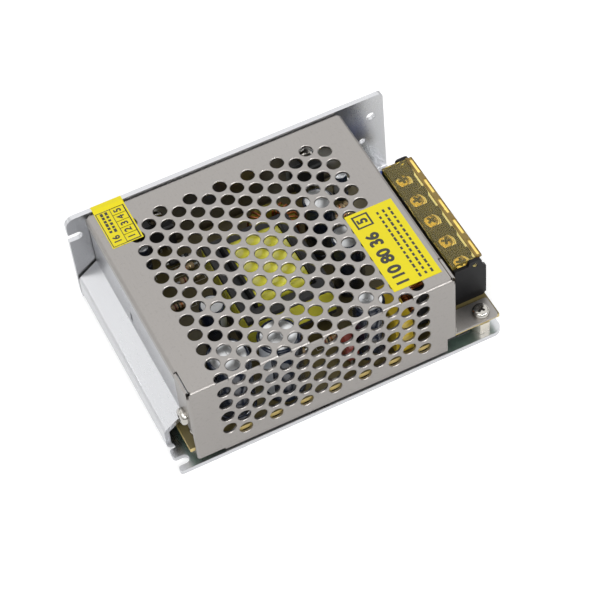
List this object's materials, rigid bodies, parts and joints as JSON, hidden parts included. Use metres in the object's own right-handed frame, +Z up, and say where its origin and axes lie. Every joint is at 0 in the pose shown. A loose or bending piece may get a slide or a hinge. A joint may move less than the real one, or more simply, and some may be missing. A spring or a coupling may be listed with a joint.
{
  "type": "switching power supply",
  "caption": "Enclosed switching power supply: folded aluminium tray, perforated steel cover, and barrier terminals under a clear hinged lid.",
  "frame": {"origin": "middle of the underside of the tray, in its mounting plane", "axes": "+X along the length, towards the terminals; +Y towards the tall wall; +Z up, from the base to the cover"},
  "size_m": [0.11, 0.08, 0.0361],
  "materials": {
    "tray_aluminium": "plain mill-finished sheet, satin",
    "cover_steel": "galvanised steel sheet, satin",
    "plated_screws": "nickel plated, bright",
    "board_laminate": "phenolic laminate, tan",
    "insulating_film": "dark fibre sheet",
    "brass_standoffs": "nickel plated brass",
    "terminal_moulding": "black moulded plastic",
    "lid_amber": "clear amber plastic",
    "contact_brass": "plated brass",
    "ferrite": "sintered ferrite, dark grey",
    "winding_tape": "yellow polyester tape",
    "bobbin_plastic": "black moulded plastic",
    "dark_sleeve": "shrunk film sleeve with a bare metal top",
    "toroid_coating": "coated powder core",
    "copper_wire": "enamelled copper wire",
    "film_box": "yellow boxed film",
    "fuse_glass": "glass tube with metal caps",
    "disc_lacquer": "dipped lacquer, red brown",
    "black_package": "black moulded package",
    "pad_rubber": "grey silicone pad",
    "trimmer_plastic": "blue moulded plastic",
    "rotor_plastic": "white moulded plastic",
    "lamp_plastic": "tinted clear plastic",
    "yellow_label": "printed sticker",
    "seal_paper": "printed sticker"
  },
  "bodies": {
    "case": {"base_insulator": "insulating_film", "bias_capacitor": "dark_sleeve", "board": "board_laminate", "board_screw_1": "plated_screws", "board_screw_2": "plated_screws", "board_screw_3": "plated_screws", "board_screw_4": "plated_screws", "bridge_rectifier": "black_package", "bulk_capacitor_1": "dark_sleeve", "bulk_capacitor_2": "dark_sleeve", "chassis": "tray_aluminium", "control_chip": "black_package", "cover": "cover_steel", "cover_screw": "plated_screws", "film_capacitor": "film_box", "fuse": "fuse_glass", "indicator_lamp": "lamp_plastic", "inrush_thermistor": "disc_lacquer", "line_filter_coil_1": "copper_wire", "line_filter_coil_2": "copper_wire", "line_filter_core": "ferrite", "output_capacitor_1": "dark_sleeve", "output_capacitor_2": "dark_sleeve", "output_capacitor_3": "dark_sleeve", "output_choke_core": "toroid_coating", "output_choke_winding": "copper_wire", "power_rectifier": "black_package", "power_transistor": "black_package", "rectifier_pad": "pad_rubber", "rectifier_screw": "plated_screws", "seal_label": "seal_paper", "standoff_1": "brass_standoffs", "standoff_2": "brass_standoffs", "standoff_3": "brass_standoffs", "standoff_4": "brass_standoffs", "terminal_body": "terminal_moulding", "terminal_contact_1": "contact_brass", "terminal_contact_2": "contact_brass", "terminal_contact_3": "contact_brass", "terminal_contact_4": "contact_brass", "terminal_contact_5": "contact_brass", "top_label": "yellow_label", "transformer_bobbin": "bobbin_plastic", "transformer_core": "ferrite", "transformer_winding": "winding_tape", "transistor_pad": "pad_rubber", "transistor_screw": "plated_screws", "trimmer_body": "trimmer_plastic"},
    "lid": {"terminal_lid": "lid_amber"},
    "adjuster": {"trimmer_rotor": "rotor_plastic"},
    "clamp_1": {"terminal_washer_1": "plated_screws"},
    "screw_1": {"terminal_screw_1": "plated_screws"},
    "clamp_2": {"terminal_washer_2": "plated_screws"},
    "screw_2": {"terminal_screw_2": "plated_screws"},
    "clamp_3": {"terminal_washer_3": "plated_screws"},
    "screw_3": {"terminal_screw_3": "plated_screws"},
    "clamp_4": {"terminal_washer_4": "plated_screws"},
    "screw_4": {"terminal_screw_4": "plated_screws"},
    "clamp_5": {"terminal_washer_5": "plated_screws"},
    "screw_5": {"terminal_screw_5": "plated_screws"}
  },
  "joints": [
    {"name": "lid_hinge", "type": "hinge", "parent": "case", "child": "lid", "pos_m": [0.0512, -0.005, 0.0238], "axis": [0, 1, 0], "range_deg": [0, 90]},
    {"name": "trimmer_turn", "type": "hinge", "parent": "case", "child": "adjuster", "pos_m": [0.0497, 0.0245, 0.0123], "axis": [0, 0, 1], "range_deg": [-135, 135]},
    {"name": "clamp_1_lift", "type": "slide", "parent": "case", "child": "clamp_1", "axis": [0, 0, 1], "range_m": [0, 0.0022]},
    {"name": "screw_1_turn", "type": "hinge", "parent": "clamp_1", "child": "screw_1", "pos_m": [0.049, -0.024, 0.0185], "axis": [0, 0, 1], "range_deg": [0, 1321]},
    {"name": "clamp_2_lift", "type": "slide", "parent": "case", "child": "clamp_2", "axis": [0, 0, 1], "range_m": [0, 0.0022]},
    {"name": "screw_2_turn", "type": "hinge", "parent": "clamp_2", "child": "screw_2", "pos_m": [0.049, -0.0145, 0.0185], "axis": [0, 0, 1], "range_deg": [0, 1321]},
    {"name": "clamp_3_lift", "type": "slide", "parent": "case", "child": "clamp_3", "axis": [0, 0, 1], "range_m": [0, 0.0022]},
    {"name": "screw_3_turn", "type": "hinge", "parent": "clamp_3", "child": "screw_3", "pos_m": [0.049, -0.005, 0.0185], "axis": [0, 0, 1], "range_deg": [0, 1321]},
    {"name": "clamp_4_lift", "type": "slide", "parent": "case", "child": "clamp_4", "axis": [0, 0, 1], "range_m": [0, 0.0022]},
    {"name": "screw_4_turn", "type": "hinge", "parent": "clamp_4", "child": "screw_4", "pos_m": [0.049, 0.0045, 0.0185], "axis": [0, 0, 1], "range_deg": [0, 1321]},
    {"name": "clamp_5_lift", "type": "slide", "parent": "case", "child": "clamp_5", "axis": [0, 0, 1], "range_m": [0, 0.0022]},
    {"name": "screw_5_turn", "type": "hinge", "parent": "clamp_5", "child": "screw_5", "pos_m": [0.049, 0.014, 0.0185], "axis": [0, 0, 1], "range_deg": [0, 1321]}
  ],
  "couplings": [
    {"joint": "screw_1_turn", "follows": "clamp_1_lift", "rad_per_m": 10472},
    {"joint": "screw_2_turn", "follows": "clamp_2_lift", "rad_per_m": 10472},
    {"joint": "screw_3_turn", "follows": "clamp_3_lift", "rad_per_m": 10472},
    {"joint": "screw_4_turn", "follows": "clamp_4_lift", "rad_per_m": 10472},
    {"joint": "screw_5_turn", "follows": "clamp_5_lift", "rad_per_m": 10472}
  ]
}
